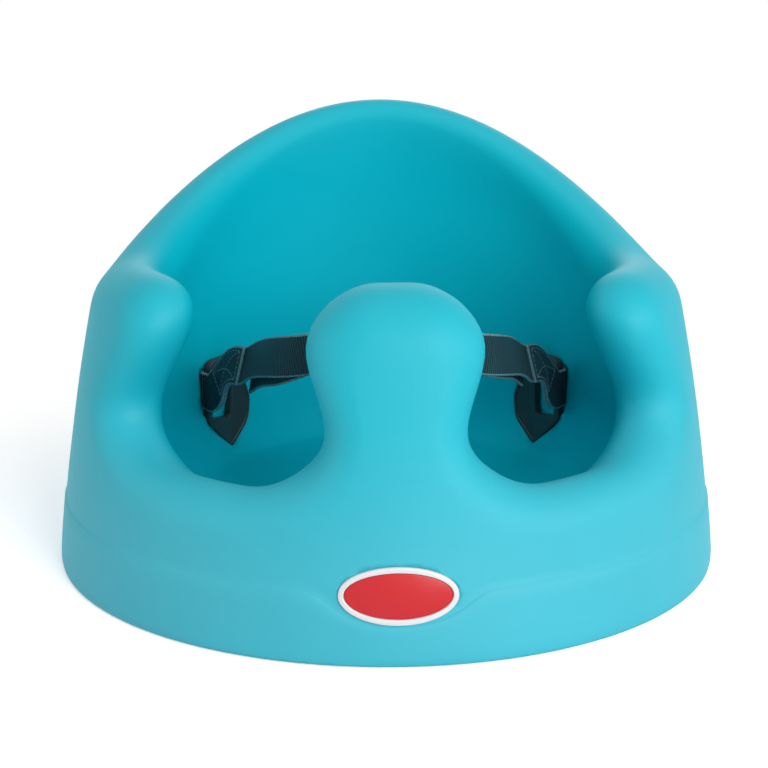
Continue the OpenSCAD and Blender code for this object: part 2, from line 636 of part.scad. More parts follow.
module arm_shape() {
    high = half_thick - shell_wall - fit_gap;
    step = latch_front - 1.4;               // the shoulder that catches the opening's edge
    tip = latch_rear + 1.8;
    color("#22282a") union() {
        translate([arm_root[0], arm_root[1], -high]) cylinder(r = arm_r, h = 2 * high);
        slab([[arm_root[0], arm_root[1] + arm_half, 0.3], [step + 0.4, arm_root[1] + arm_half, 0.8],
              [step, half_wide + 0.6, 0.8], [(step + tip) / 2, half_wide + 0.4, 3],
              [tip, arm_root[1] + 0.6, 1.5], [tip + 0.6, arm_root[1] - arm_half, 1],
              [arm_root[0], arm_root[1] - arm_half, 0.3]], high);
    }
}

module anchor_plate_left() { mirror([1, 0, 0]) at_anchor() plate_shape(); }
module anchor_plate_right() { at_anchor() plate_shape(); }
module anchor_insert_left() { mirror([1, 0, 0]) at_anchor() insert_shape(); }
module anchor_insert_right() { at_anchor() insert_shape(); }
module strap_left() { mirror([1, 0, 0]) strap_shape(sag_left); }
module strap_right() { strap_shape(sag_right); }
module buckle_socket() { at_buckle() socket_shape(); }
module buckle_plug() { at_buckle() plug_shape(); }
module latch_arm_top() { at_buckle() arm_shape(); }
module latch_arm_bottom() { at_buckle() mirror([0, 1, 0]) arm_shape(); }

seat_body();
badge_bezel();
badge_panel();
anchor_plate_left();
anchor_plate_right();
anchor_insert_left();
anchor_insert_right();
strap_left();
strap_right();
buckle_socket();
buckle_plug();
latch_arm_top();
latch_arm_bottom();
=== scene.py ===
"""Baby floor seat: a one-piece foam seat with a lap belt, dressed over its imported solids."""

import math

import bmesh
import bpy
from bpy.props import FloatProperty, FloatVectorProperty, IntProperty, PointerProperty
from mathutils import Matrix, Vector


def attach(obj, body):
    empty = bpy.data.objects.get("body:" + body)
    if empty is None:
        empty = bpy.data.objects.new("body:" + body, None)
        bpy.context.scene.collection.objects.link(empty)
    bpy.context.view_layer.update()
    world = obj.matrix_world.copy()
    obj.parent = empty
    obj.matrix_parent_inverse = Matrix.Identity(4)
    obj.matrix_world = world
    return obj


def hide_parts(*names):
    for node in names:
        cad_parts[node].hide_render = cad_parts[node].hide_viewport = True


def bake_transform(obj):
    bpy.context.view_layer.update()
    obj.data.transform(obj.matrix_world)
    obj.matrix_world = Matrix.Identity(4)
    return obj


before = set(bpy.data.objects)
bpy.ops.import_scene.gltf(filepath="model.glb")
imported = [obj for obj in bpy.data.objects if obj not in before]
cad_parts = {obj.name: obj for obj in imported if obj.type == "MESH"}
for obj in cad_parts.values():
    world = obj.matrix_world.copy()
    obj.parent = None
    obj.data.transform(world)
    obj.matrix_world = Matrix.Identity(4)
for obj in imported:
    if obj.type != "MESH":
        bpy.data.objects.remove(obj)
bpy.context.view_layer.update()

bl_info = {
    "name": "Baby floor seat",
    "version": (1, 0, 0),
    "blender": (4, 5, 0),
    "location": "View3D > Sidebar > Floor seat",
    "description": "Builds a moulded foam floor seat with its lap belt, buckle and badge",
    "category": "Object",
}

MM = 0.001
WHITE = (1.0, 1.0, 1.0, 1.0)

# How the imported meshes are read. An edge turns by the angle between its two faces.
JOIN_WITHIN = 0.002 * MM  # corners this near are one
FLAT_TURN = 1.5  # degrees: faces that turn less are one flat face
HARD_TURN = 35  # degrees: edges of moulded pieces that turn more are rounded

# The foam's smoothing
PAIR_TURN = 30  # degrees: two triangles that turn more aren't made one face
PAIR_SKEW = 50  # degrees: nor are two whose corners would be further from square
SHARP_TURN = 55  # degrees: edges of the foam that turn more stay sharp
LINE_TURN = 28  # degrees: the mould line turns more than this, and stays sharp too
LINE_TOP = 45 * MM  # the mould line lies below this height

# The webbing's smoothing: a crease of 0 is round and one of 1 is sharp
LONG_CREASE = 0.55
END_CREASE = 0.8
CUTS_ACROSS = 3

# The sewn box
SEAM_TO_EDGE = 2.6 * MM
SEAM_TO_END = 3.5 * MM
STITCH_FILL = 0.84  # share of a stitch's length that its thread covers

# The studio, in metres: the floor, and each lamp's width and the place where it stands
FLOOR_RADIUS = 6
LAMPS = {
    "key": (1.3, (0.8, -1.6, 0.75)),
    "left": (1.0, (-1.7, -0.5, 0.8)),
    "right": (1.0, (1.7, -0.6, 0.8)),
    "top": (1.2, (0.1, -0.5, 1.9)),
    "rear": (1.4, (0.2, 2.2, 0.9)),
}


# ---- Settings


def linear(code):
    """An sRGB hex colour as linear red, green, blue and alpha."""
    channels = [int(code[i : i + 2], 16) / 255 for i in (1, 3, 5)]
    return tuple(
        c / 12.92 if c <= 0.04045 else ((c + 0.055) / 1.055) ** 2.4 for c in channels
    ) + (1.0,)


def colour(label, code, what):
    """A colour that the user may change."""
    return FloatVectorProperty(
        name=label, description=what, subtype="COLOR", size=4, min=0, max=1, default=linear(code)
    )


def length(label, millimetres, what):
    """A size that the user may change, kept in metres."""
    return FloatProperty(
        name=label, description=what, unit="LENGTH", default=millimetres * MM, min=0, precision=5
    )


def share(label, value, what):
    """A number from 0 to 1 that the user may change."""
    return FloatProperty(
        name=label, description=what, subtype="FACTOR", default=value, min=0, max=1
    )


def number(label, value, what, **more):
    """Any other number that the user may change."""
    return FloatProperty(name=label, description=what, default=value, **more)


def place(label, value, what):
    """A point that the user may change, in metres."""
    return FloatVectorProperty(
        name=label, description=what, subtype="TRANSLATION", size=3, default=value
    )


def smoothing(levels, what):
    """How finely a piece is subdivided, which the user may change."""
    return IntProperty(name="Smoothing", description=what, default=levels, min=0, max=2)


class FoamSettings(bpy.types.PropertyGroup):
    """The moulded foam body."""

    inner: colour("Foam, inside", "#00b9cd", "Colour of the skin inside the well")
    # The outer wall's paler colour low down is a painted sheen, not the skin's own colour.
    outer: colour("Foam, outside", "#40bdd0", "Colour of the skin low on the outer wall")
    painted_sheen_below: length("Pale below", 25, "Height up to which the outer wall has its own colour")
    painted_sheen_up_to: length("Pale up to", 130, "Height at which it has gone over to the inside's colour")
    gloss_inside: share("Gloss, inside", 0.07, "Strength of the skin's reflection inside the well")
    gloss_outside: share("Gloss, outside", 0.55, "Strength of the skin's reflection outside")
    inside_up_to: share("Inside up to", 0.775, "Share of the wall's radius where the inside ends")
    outside_from: share("Outside from", 0.85, "Share of the wall's radius where the outside starts")
    patch_shift: share("Patches, strength", 0.06, "How much the colour changes over the skin")
    patch: length("Patches", 70, "Size of the colour's slow changes")
    roughness: share("Roughness", 0.6, "How matt the skin is")
    grain: length("Grain", 1.3, "Size of the skin's fine grain")
    base_radius: length("Base radius", 185, "Radius of the outer wall at the floor")
    draft: number("Draft", 0.09, "How far the outer wall draws in for each unit of height")
    belly: number("Belly", 0.4, "How much faster it draws in higher up, per metre")
    detail: smoothing(1, "Levels of subdivision of the shell")


class BeltSettings(bpy.types.PropertyGroup):
    """The lap belt's webbing and thread."""

    tint: colour("Webbing", "#04171d", "Colour of the webbing between its ribs")
    # The ribs' colour is a painted highlight: the rib tops are painted paler where light would
    # catch them.
    rib_highlight_tint: colour("Ribs", "#1f6370", "Colour of the ribs where the light catches them")
    # The webbing is drawn paler along its edges and at its sealed ends.
    tint_edge: colour("Woven edge", "#73a0aa", "Colour of the webbing's edges and sealed ends")
    rib: length("Rib spacing", 1.5, "Distance between two ribs of the weave")
    edge: length("Edge width", 1.1, "Width of the woven edge")
    thread: colour("Thread", "#5a828c", "Colour of the sewing thread")
    thread_thick: length("Thread thickness", 0.6, "Thickness of the sewing thread")
    stitch: length("Stitch", 2.6, "Length of one stitch")
    box: length("Sewn box", 30, "Length of the sewn box along the webbing")
    detail: smoothing(2, "Levels of subdivision of the webbing")
    bend_start: place(
        "Bend start", (0.078, 0.0, 0.104), "Where the webbing starts to follow the plug"
    )
    bend_end: place("Bend end", (0.046, -0.0705, 0.130), "Where the webbing is tied to the plug")


class HardwareSettings(bpy.types.PropertyGroup):
    """The anchor plates, their sockets and the buckle."""

    tint: colour("Black plastic", "#2d3335", "Colour of the plates and the buckle")
    tint_latch: colour("Latch arms", "#33393b", "Colour of the two latch arms")
    inner: colour("Sockets", "#c9cdcf", "Colour of the sockets set in the foam")
    edge_radius: length("Edge radius", 0.45, "Rounding of the plates' and the buckle's edges")
    socket_radius: length("Socket radius", 0.2, "Edge rounding of the sockets set in the foam")


class BadgeSettings(bpy.types.PropertyGroup):
    """The oval badge on the front."""

    border: colour("Border", "#ececee", "Colour of the badge's border")
    face: colour("Face", "#d41c25", "Colour of the badge's face")
    edge_radius: length("Edge radius", 0.6, "Rounding of the badge's edges")


class StageSettings(bpy.types.PropertyGroup):
    """The floor, the lamps and the camera."""

    floor: colour("Floor", "#f2f3f4", "Colour of the floor")
    floor_lift: number("Floor lift", 0.5, "How much the camera sees the floor brightened")
    shadow_near: length("Shadow fade, start", 215, "Where the seat's shadow starts to fade out")
    shadow_far: length("Shadow fade, end", 420, "Where the floor is plain white")
    key: number("Key lamp", 20, "Power of the front lamp", unit="POWER")
    left: number("Left lamp", 3.3, "Power of the left lamp", unit="POWER")
    right: number("Right lamp", 4.8, "Power of the right lamp", unit="POWER")
    top: number("Top lamp", 3, "Power of the lamp above", unit="POWER")
    rear: number("Rear lamp", 9, "Power of the lamp behind", unit="POWER")
    sky: number("Sky", 0.36, "Strength of the light all round", min=0)
    aim: place("Aim", (0.0, 0.0, 0.1), "What the lamps and the camera point at")
    distance: length("Camera distance", 1100, "From the camera to what it points at")
    elevation: number(
        "Camera elevation", math.radians(14.709), "Angle above the floor", unit="ROTATION"
    )
    turn: number(
        "Camera turn", math.radians(1.9), "Angle from straight in front", unit="ROTATION"
    )
    lens: number("Lens", 91.35, "Focal length, in millimetres")
    film: number("Film width", 36, "Width of the camera's film, in millimetres")
    shift_across: number("Shift across", -0.0030, "Shift of the picture sideways")
    shift_up: number("Shift up", -0.0132, "Shift of the picture upwards")


class FloorSeatSettings(bpy.types.PropertyGroup):
    """Everything that can be set on the seat."""

    foam: PointerProperty(type=FoamSettings)
    belt: PointerProperty(type=BeltSettings)
    hardware: PointerProperty(type=HardwareSettings)
    badge: PointerProperty(type=BadgeSettings)
    stage: PointerProperty(type=StageSettings)


# ---- Meshes


def merged(node):
    """A CAD node's mesh, with the corners of its loose triangles joined."""
    bm = bmesh.new()
    bm.from_mesh(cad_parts[node].data)
    bmesh.ops.remove_doubles(bm, verts=bm.verts, dist=JOIN_WITHIN)
    return bm


def piece(bm, name, material, body, node=None):
    """Turns a mesh into a finished piece that rides on a body and may stand for a node."""
    for face in bm.faces:
        face.smooth = True
    mesh = bpy.data.meshes.new(name)
    bm.to_mesh(mesh)
    bm.free()
    mesh.materials.append(material)
    made = bpy.data.objects.new(name, mesh)
    bpy.context.scene.collection.objects.link(made)
    if body:
        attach(made, body)
    if node:
        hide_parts(node)
    return made


def sharp_edges(bm, degrees):
    """The edges that turn by more than an angle."""
    return [
        e for e in bm.edges
        if len(e.link_faces) == 2 and e.calc_face_angle(0) > math.radians(degrees)
    ]


def eased(node, radius, segments=2):
    """A copy of a moulded node with its flat faces joined and its edges rounded."""
    bm = merged(node)
    bmesh.ops.dissolve_limit(
        bm, angle_limit=math.radians(FLAT_TURN), verts=bm.verts, edges=bm.edges,
        use_dissolve_boundaries=False,
    )
    bmesh.ops.bevel(
        bm, geom=sharp_edges(bm, HARD_TURN), offset=radius, segments=segments, affect="EDGES",
        profile=0.5, material=-1, clamp_overlap=True,
    )
    return bm


def smooth_below(made, degrees):
    """Shades the edges that turn by more than an angle sharp, and the rest smooth."""
    mesh = made.data
    bm = bmesh.new()
    bm.from_mesh(mesh)
    for edge in bm.edges:
        edge.smooth = True
    for edge in sharp_edges(bm, degrees):
        edge.smooth = False
    bm.to_mesh(mesh)
    bm.free()


# ---- Materials


def add_node(tree, kind, inputs=None, **settings):
    """Adds a node, sets it up, and fills or links its sockets. A socket goes by its name, or by
    its number where names repeat: a Mix node takes its colours in 6 and 7, and gives one in 2."""
    made = tree.nodes.new(kind)
    for key, value in settings.items():
        setattr(made, key, value)
    for key, value in (inputs or {}).items():
        if isinstance(value, bpy.types.NodeSocket):
            tree.links.new(value, made.inputs[key])
        else:
            made.inputs[key].default_value = value
    return made


def start_material(name):
    """A material without nodes, and its tree."""
    material = bpy.data.materials.new(name)
    material.use_nodes = True
    material.node_tree.nodes.clear()
    return material, material.node_tree


def foam_outside(tree, look, x, y, z):
    """1 on the seat's outside, rim and pommel, and 0 inside the well: how far out a point lies,
    as a share of the outer wall's radius at its height."""
    level = add_node(tree, "ShaderNodeCombineXYZ", {0: x, 1: y}).outputs[0]
    reach = add_node(tree, "ShaderNodeVectorMath", {0: level}, operation="LENGTH").outputs["Value"]
    slope = add_node(
        tree, "ShaderNodeMath", {0: z, 1: look.belly, 2: look.draft}, operation="MULTIPLY_ADD"
    ).outputs[0]
    inward = add_node(tree, "ShaderNodeMath", {0: slope, 1: z}, operation="MULTIPLY").outputs[0]
    wall = add_node(
        tree, "ShaderNodeMath", {0: look.base_radius, 1: inward}, operation="SUBTRACT"
    ).outputs[0]
    ratio = add_node(tree, "ShaderNodeMath", {0: reach, 1: wall}, operation="DIVIDE").outputs[0]
    return add_node(
        tree, "ShaderNodeMapRange",
        {"Value": ratio, "From Min": look.inside_up_to, "From Max": look.outside_from},
        interpolation_type="SMOOTHSTEP",
    ).outputs[0]


def foam_skin(look):
    """Polyurethane foam with its own moulded skin: satin, with slow patches of colour and a fine
    grain, drawn coarse enough to show. The outside is shinier than the inside of the well, and
    low on the outer wall it is painted paler, as a painted sheen."""
    grain_to_rough = 0.06
    material, tree = start_material("polyurethane_foam_skin")
    point = add_node(tree, "ShaderNodeTexCoord").outputs["Object"]
    x, y, z = add_node(tree, "ShaderNodeSeparateXYZ", {0: point}).outputs
    outside = foam_outside(tree, look, x, y, z)
    # Painted sheen: low on the outer wall the skin is painted paler.
    low = add_node(
        tree, "ShaderNodeMapRange",
        {
            "Value": z, "From Min": look.painted_sheen_below, "From Max": look.painted_sheen_up_to,
            "To Min": 1.0, "To Max": 0.0,
        },
        interpolation_type="SMOOTHSTEP",
    ).outputs[0]
    pale = add_node(tree, "ShaderNodeMath", {0: outside, 1: low}, operation="MULTIPLY").outputs[0]
    tint = add_node(
        tree, "ShaderNodeMix", {0: pale, 6: look.inner, 7: look.outer}, data_type="RGBA"
    ).outputs[2]
    patches = add_node(
        tree, "ShaderNodeTexNoise", {"Vector": point, "Scale": 1 / look.patch, "Detail": 2.0}
    ).outputs["Fac"]
    bright = add_node(
        tree, "ShaderNodeMapRange",
        {"Value": patches, "To Min": 1 - look.patch_shift, "To Max": 1 + look.patch_shift},
    ).outputs[0]
    tint = add_node(
        tree, "ShaderNodeHueSaturation", {"Color": tint, "Value": bright}
    ).outputs[0]
    grain = add_node(
        tree, "ShaderNodeTexNoise",
        {"Vector": point, "Scale": 1 / look.grain, "Detail": 3.0, "Roughness": 0.6},
    ).outputs["Fac"]
    matt = add_node(
        tree, "ShaderNodeMapRange",
        {
            "Value": grain, "To Min": look.roughness - grain_to_rough,
            "To Max": look.roughness + grain_to_rough,
        },
    ).outputs[0]
    shine = add_node(
        tree, "ShaderNodeMapRange",
        {"Value": outside, "To Min": look.gloss_inside, "To Max": look.gloss_outside},
    ).outputs[0]
    bump = add_node(
        tree, "ShaderNodeBump", {"Height": grain, "Strength": 0.1, "Distance": 0.1 * MM}
    ).outputs[0]
    shader = add_node(
        tree, "ShaderNodeBsdfPrincipled",
        {"Base Color": tint, "Roughness": matt, "Normal": bump, "Specular IOR Level": shine},
    )
    add_node(tree, "ShaderNodeOutputMaterial", {"Surface": shader.outputs[0]})
    return material


def woven_height(tree, look, along, across):
    """The weave's relief, from -1.3 to 1.3: ribs across the belt, and finer yarns along it."""
    yarn = 0.6 * look.rib
    yarn_depth = 0.3
    waves = []
    for way, spacing in ((along, look.rib), (across, yarn)):
        angle = add_node(
            tree, "ShaderNodeMath", {0: way, 1: 2 * math.pi / spacing}, operation="MULTIPLY"
        ).outputs[0]
        waves.append(add_node(tree, "ShaderNodeMath", {0: angle}, operation="SINE").outputs[0])
    ribs, yarns = waves
    return add_node(
        tree, "ShaderNodeMath", {0: yarns, 1: yarn_depth, 2: ribs}, operation="MULTIPLY_ADD"
    ).outputs[0]


def pale_edges_and_end(tree, look, wide, point, along, across):
    """How much paler the webbing is drawn: along both edges and on the sealed end. Its fuzz is
    drawn 1.1 mm coarse, as the real one is too fine to show."""
    fuzz_per_mm = 0.9
    fuzz_gain = 1.7
    seal, seal_fade = 0.9 * MM, 0.4 * MM
    off = add_node(tree, "ShaderNodeMath", {0: across}, operation="ABSOLUTE").outputs[0]
    edge = add_node(
        tree, "ShaderNodeMapRange",
        {"Value": off, "From Min": wide / 2 - look.edge, "From Max": wide / 2 - 0.6 * look.edge},
    ).outputs[0]
    sealed = add_node(
        tree, "ShaderNodeMapRange",
        {
            "Value": along, "From Min": seal, "From Max": seal + seal_fade,
            "To Min": 1.0, "To Max": 0.0,
        },
    ).outputs[0]
    fuzz = add_node(
        tree, "ShaderNodeTexNoise", {"Vector": point, "Scale": fuzz_per_mm / MM, "Detail": 2.0}
    ).outputs["Fac"]
    pale = add_node(tree, "ShaderNodeMath", {0: edge, 1: sealed}, operation="MAXIMUM").outputs[0]
    pale = add_node(tree, "ShaderNodeMath", {0: pale, 1: fuzz}, operation="MULTIPLY").outputs[0]
    return add_node(
        tree, "ShaderNodeMath", {0: pale, 1: fuzz_gain}, operation="MULTIPLY", use_clamp=True
    ).outputs[0]


def woven_webbing(look, wide):
    """Polyester webbing, woven: dull, with ribs across the belt whose tops are painted lighter as a
    painted highlight, and paler along both edges and on the sealed end. The map is in metres."""
    lit_at = 1.2  # height in the weave at which a rib's painted highlight is at its palest
    lit_share = 0.6  # how far it goes over to the ribs' highlight colour there
    material, tree = start_material("polyester_webbing_woven")
    point = add_node(tree, "ShaderNodeUVMap", uv_map="belt").outputs[0]
    along, across, _ = add_node(tree, "ShaderNodeSeparateXYZ", {0: point}).outputs
    weave = woven_height(tree, look, along, across)
    # Painted highlight: the higher the weave, the nearer the ribs' highlight colour.
    rib_highlight = add_node(
        tree, "ShaderNodeMapRange",
        {"Value": weave, "From Min": -lit_at, "From Max": lit_at, "To Max": lit_share},
    ).outputs[0]
    tint = add_node(
        tree, "ShaderNodeMix", {0: rib_highlight, 6: look.tint, 7: look.rib_highlight_tint}, data_type="RGBA"
    ).outputs[2]
    pale = pale_edges_and_end(tree, look, wide, point, along, across)
    tint = add_node(
        tree, "ShaderNodeMix", {0: pale, 6: tint, 7: look.tint_edge}, data_type="RGBA"
    ).outputs[2]
    bump = add_node(
        tree, "ShaderNodeBump", {"Height": weave, "Strength": 0.8, "Distance": 0.25 * MM}
    ).outputs[0]
    shader = add_node(
        tree, "ShaderNodeBsdfPrincipled",
        {
            "Base Color": tint, "Roughness": 0.5, "Normal": bump, "Specular IOR Level": 0.25,
            "Sheen Weight": 0.03, "Sheen Roughness": 0.35,
        },
    )
    add_node(tree, "ShaderNodeOutputMaterial", {"Surface": shader.outputs[0]})
    return material


def sewing_thread(look):
    """Bonded polyester thread: pale and dull. Its twist has its real size, and shows only as an
    uneven sheen."""
    twist_size = 0.4 * MM
    material, tree = start_material("polyester_thread_bonded")
    point = add_node(tree, "ShaderNodeTexCoord").outputs["Object"]
    twist = add_node(
        tree, "ShaderNodeTexNoise", {"Vector": point, "Scale": 1 / twist_size, "Detail": 2.0}
    ).outputs["Fac"]
    rough = add_node(
        tree, "ShaderNodeMapRange", {"Value": twist, "To Min": 0.5, "To Max": 0.75}
    ).outputs[0]
    shader = add_node(
        tree, "ShaderNodeBsdfPrincipled",
        {"Base Color": look.thread, "Roughness": rough, "Sheen Weight": 0.2},
    )
    add_node(tree, "ShaderNodeOutputMaterial", {"Surface": shader.outputs[0]})
    return material


def moulded_plastic(name, tint, matt, grain, depth):
    """Moulded plastic with the grain of its mould, spark-eroded or all but polished away. The
    grain is drawn 0.7 mm coarse or more, as the real one is too fine to show."""
    grain_to_rough = 0.05
    material, tree = start_material(name)
    point = add_node(tree, "ShaderNodeTexCoord").outputs["Object"]
    noise = add_node(
        tree, "ShaderNodeTexNoise",
        {"Vector": point, "Scale": 1 / grain, "Detail": 2.0, "Roughness": 0.55},
    ).outputs["Fac"]
    rough = add_node(
        tree, "ShaderNodeMapRange",
        {"Value": noise, "To Min": matt - grain_to_rough, "To Max": matt + grain_to_rough},
    ).outputs[0]
    bump = add_node(
        tree, "ShaderNodeBump", {"Height": noise, "Strength": 0.25, "Distance": depth}
    ).outputs[0]
    shader = add_node(
        tree, "ShaderNodeBsdfPrincipled",
        {"Base Color": tint, "Roughness": rough, "Normal": bump, "IOR": 1.5},
    )
    add_node(tree, "ShaderNodeOutputMaterial", {"Surface": shader.outputs[0]})
    return material


def seen_rays(tree):
    """1 for what the camera sees, straight or in a mirror or glass, and 0 for light that falls
    on the seat."""
    rays = add_node(tree, "ShaderNodeLightPath").outputs
    seen = add_node(
        tree, "ShaderNodeMath", {0: rays["Is Camera Ray"], 1: rays["Is Glossy Ray"]},
        operation="MAXIMUM",
    ).outputs[0]
    return add_node(
        tree, "ShaderNodeMath", {0: seen, 1: rays["Is Transmission Ray"]}, operation="MAXIMUM"
    ).outputs[0]


def seamless_paper(look):
    """Studio paper: matt white. The camera sees it brighter than it lights the seat, and plain
    white beyond the seat's shadow. Its fibres are drawn 17 mm coarse, to show at all."""
    fibres_per_mm = 0.06
    material, tree = start_material("seamless_paper_matt")
    point = add_node(tree, "ShaderNodeTexCoord").outputs["Object"]
    fibre = add_node(
        tree, "ShaderNodeTexNoise", {"Vector": point, "Scale": fibres_per_mm / MM, "Detail": 2.0}
    ).outputs["Fac"]
    rough = add_node(
        tree, "ShaderNodeMapRange", {"Value": fibre, "To Min": 0.85, "To Max": 1.0}
    ).outputs[0]
    paper = add_node(tree, "ShaderNodeBsdfDiffuse", {"Color": look.floor, "Roughness": rough})
    lift = add_node(
        tree, "ShaderNodeEmission", {"Color": look.floor, "Strength": look.floor_lift}
    )
    near = add_node(tree, "ShaderNodeAddShader", {0: paper.outputs[0], 1: lift.outputs[0]})
    white = add_node(tree, "ShaderNodeEmission", {"Color": WHITE, "Strength": 1.0})
    away = add_node(tree, "ShaderNodeVectorMath", {0: point}, operation="LENGTH").outputs["Value"]
    far = add_node(
        tree, "ShaderNodeMapRange",
        {"Value": away, "From Min": look.shadow_near, "From Max": look.shadow_far},
        interpolation_type="SMOOTHSTEP",
    ).outputs[0]
    bright = add_node(
        tree, "ShaderNodeMixShader", {0: far, 1: near.outputs[0], 2: white.outputs[0]}
    )
    shader = add_node(
        tree, "ShaderNodeMixShader",
        {0: seen_rays(tree), 1: paper.outputs[0], 2: bright.outputs[0]},
    )
    add_node(tree, "ShaderNodeOutputMaterial", {"Surface": shader.outputs[0]})
    return material


# ---- Pieces


class FLOORSEAT_OT_foam(bpy.types.Operator):
    """Builds the one-piece foam body"""

    bl_idname = "floor_seat.foam"
    bl_label = "Foam body"

    def execute(self, context):
        look = context.scene.floor_seat.foam
        bm = merged("seat_body")
        bmesh.ops.join_triangles(
            bm, faces=bm.faces, angle_face_threshold=math.radians(PAIR_TURN),
            angle_shape_threshold=math.radians(PAIR_SKEW),
        )
        crease = bm.edges.layers.float.new("crease_edge")
        line = [
            e for e in sharp_edges(bm, LINE_TURN) if max(v.co.z for v in e.verts) < LINE_TOP
        ]
        for edge in sharp_edges(bm, SHARP_TURN) + line:
            edge[crease] = 1.0
        made = piece(bm, "foam_body", foam_skin(look), "seat", "seat_body")
        rounding = made.modifiers.new("rounding", "SUBSURF")
        rounding.levels = rounding.render_levels = look.detail
        return {"FINISHED"}


class FLOORSEAT_OT_badge(bpy.types.Operator):
    """Builds the oval badge: its raised border and its plain face"""

    bl_idname = "floor_seat.badge"
    bl_label = "Badge"

    def execute(self, context):
        look = context.scene.floor_seat.badge
        # Glossy ABS, moulded and polished, with hardly any grain
        border = moulded_plastic(
            "abs_white_polished", look.border, matt=0.24, grain=3 * MM, depth=0.002 * MM
        )
        # Soft PVC, red and glossy, as cast badges are
        face = moulded_plastic(
            "soft_pvc_red_glossy", look.face, matt=0.3, grain=2.5 * MM, depth=0.002 * MM
        )
        for node, name, material, slot in (
            ("badge_bezel", "badge_border", border, "badge_white"),
            ("badge_panel", "badge_face", face, "badge_red"),
        ):
            bm = eased(node, look.edge_radius, segments=3)
            smooth_below(piece(bm, name, material, "seat", node), degrees=60)
        return {"FINISHED"}


class FLOORSEAT_OT_anchors(bpy.types.Operator):
    """Builds the two belt anchors: the plate and the socket behind it"""

    bl_idname = "floor_seat.anchors"
    bl_label = "Belt anchors"

    def execute(self, context):
        look = context.scene.floor_seat.hardware
        # Nylon, black, spark-eroded: a satin face with soft moulded edges
        plastic = moulded_plastic(
            "nylon_black_moulded", look.tint, matt=0.42, grain=0.7 * MM, depth=0.03 * MM
        )
        # Nylon in its natural milky colour, out of sight in the foam
        inner = moulded_plastic(
            "nylon_natural_moulded", look.inner, matt=0.5, grain=1 * MM, depth=0.03 * MM
        )
        for side in ("left", "right"):
            node = f"anchor_plate_{side}"
            bm = eased(node, look.edge_radius)
            plate = piece(bm, f"belt_plate_{side}", plastic, "seat", node)
            smooth_below(plate, degrees=50)
            node = f"anchor_insert_{side}"
            bm = eased(node, look.socket_radius)
            socket = piece(bm, f"belt_socket_{side}", inner, "seat", node)
            smooth_below(socket, degrees=40)
        return {"FINISHED"}


class Ribbon:
    """A strap's solid read as rings of four corners, from its sewn end to its free end."""

    def __init__(self, bm):
        # Six edges meet at a corner along the strap, and fewer at one of its ends
        ends = {v for v in bm.verts if len(v.link_edges) < 6}
        # The sewn end lies further out from the middle of the seat than the free one
        first = max(ends, key=lambda v: abs(v.co.x))
        near = {first}
        # Two steps along the edges reach all four corners of the end
        for _ in range(2):
            near |= {e.other_vert(v) for v in near for e in v.link_edges} & ends
        self.rings = [self.round_order(first, near - {first})]
        seen = set(near)
        while True:
            here = self.rings[-1]
            ahead = [{e.other_vert(v) for e in v.link_edges} - seen for v in here]
            if not any(ahead):
                break
            follow = [ahead[k] & ahead[k - 1] for k in range(4)]
            if any(len(f) != 1 for f in follow):
                raise RuntimeError("the strap's rings can't be read")
            ring = [f.pop() for f in follow]
            turned = ring[1:] + ring[:1]
            if len(self.rings) == 1 and self.apart(here, ring) > self.apart(here, turned):
                # The corners were counted the other way round
                here.reverse()
                continue
            self.rings.append(ring)
            seen |= set(ring)
        self.turn_corners()
        self.middle = [sum((v.co for v in ring), Vector()) / 4 for ring in self.rings]
        self.run = [0.0]
        for a, b in zip(self.middle, self.middle[1:]):
            self.run.append(self.run[-1] + (b - a).length)

    @staticmethod
    def apart(ring, other):
        """How far two rings' corners lie apart, in all."""
        return sum((a.co - b.co).length for a, b in zip(ring, other))

    @staticmethod
    def round_order(first, others):
        """The four corners in order round the end's outline."""
        by_gap = sorted(others, key=lambda v: (v.co - first.co).length)
        return [first, by_gap[0], by_gap[2], by_gap[1]]

    def turn_corners(self):
        """Puts corners 0 and 3 on the top edge, and 1 and 2 on the bottom one."""
        ring = self.rings[0]
        if (ring[0].co - ring[1].co).length < (ring[1].co - ring[2].co).length:
            self.rings = [r[1:] + r[:1] for r in self.rings]
        ring = self.rings[0]
        if ring[0].co.z < ring[1].co.z:
            self.rings = [[r[1], r[0], r[3], r[2]] for r in self.rings]

    def outer_sign(self):
        """Which face of the sewn end looks away from the main run it lies on: 1 for the face
        with corners 0 and 1, and -1 for the other."""
        sample = 3  # a ring well inside the sewn end
        # A quarter of the rings on, the webbing has come round the plate's bar
        later = self.middle[len(self.middle) // 4 :]
        gaps = []
        for sign in (1, -1):
            face = self.middle[sample] + sign * self.through(sample)
            gaps.append(min((face - q).length for q in later))
        return 1 if gaps[0] > gaps[1] else -1

    def across(self, i):
        """The way from the bottom edge to the top one."""
        ring = self.rings[i]
        return ((ring[0].co + ring[3].co) - (ring[1].co + ring[2].co)).normalized()

    def through(self, i):
        """From the middle of the webbing to its face with corners 0 and 1."""
        ring = self.rings[i]
        return ((ring[0].co + ring[1].co) - (ring[2].co + ring[3].co)) / 4

    def at(self, run, across, sign):
        """A point on one face of the webbing, and the ways along, across and out there."""
        i = max(k for k in range(len(self.run) - 1) if self.run[k] <= run)
        f = (run - self.run[i]) / (self.run[i + 1] - self.run[i])
        middle = self.middle[i].lerp(self.middle[i + 1], f)
        side = self.across(i).lerp(self.across(i + 1), f).normalized()
        out = self.through(i).lerp(self.through(i + 1), f) * sign
        way = (self.middle[i + 1] - self.middle[i]).normalized()
        return middle + side * across + out, way, side, out.normalized()


